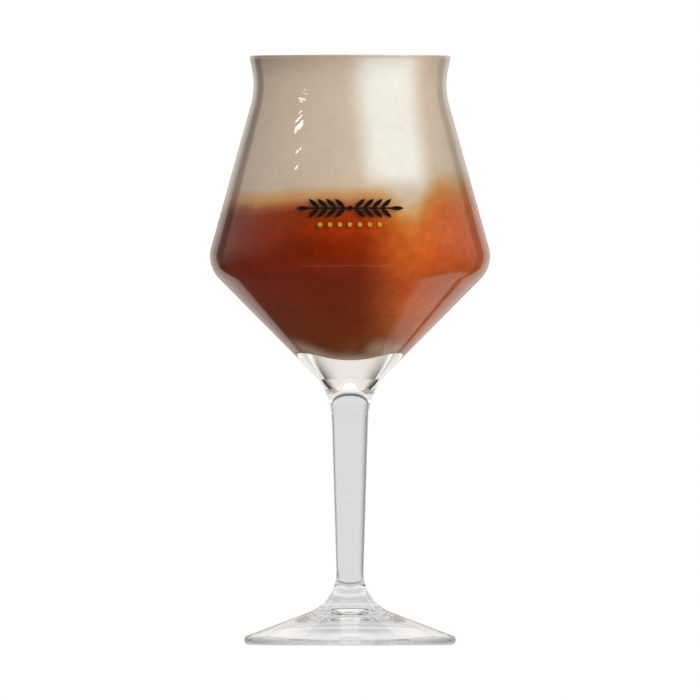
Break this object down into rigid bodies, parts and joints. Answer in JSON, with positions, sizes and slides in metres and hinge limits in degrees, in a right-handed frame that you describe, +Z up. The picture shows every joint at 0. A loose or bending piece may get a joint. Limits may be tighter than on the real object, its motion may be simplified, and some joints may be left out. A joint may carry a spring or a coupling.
{
  "type": "chalice beer glass",
  "caption": "Stemmed glass chalice for beer: bowl of two cones drawn in to a neck with a flared lip, slim stem and wide sloping foot, shown filled with amber beer under foam.",
  "frame": {"origin": "middle of the foot, in the plane that the glass stands on", "axes": "+Z up along the axis of stem and bowl; -Y is the front, where the ornament is"},
  "size_m": [0.096, 0.096, 0.202],
  "materials": {
    "clear_glass": "polished",
    "amber_beer": "polished",
    "beer_foam": "matte",
    "black_enamel": "gloss",
    "yellow_enamel": "gloss"
  },
  "bodies": {
    "root": {"foot": "clear_glass", "stem": "clear_glass", "bowl": "clear_glass", "beer": "amber_beer", "foam": "beer_foam", "barley_print": "black_enamel", "dot_print": "yellow_enamel"}
  },
  "joints": []
}
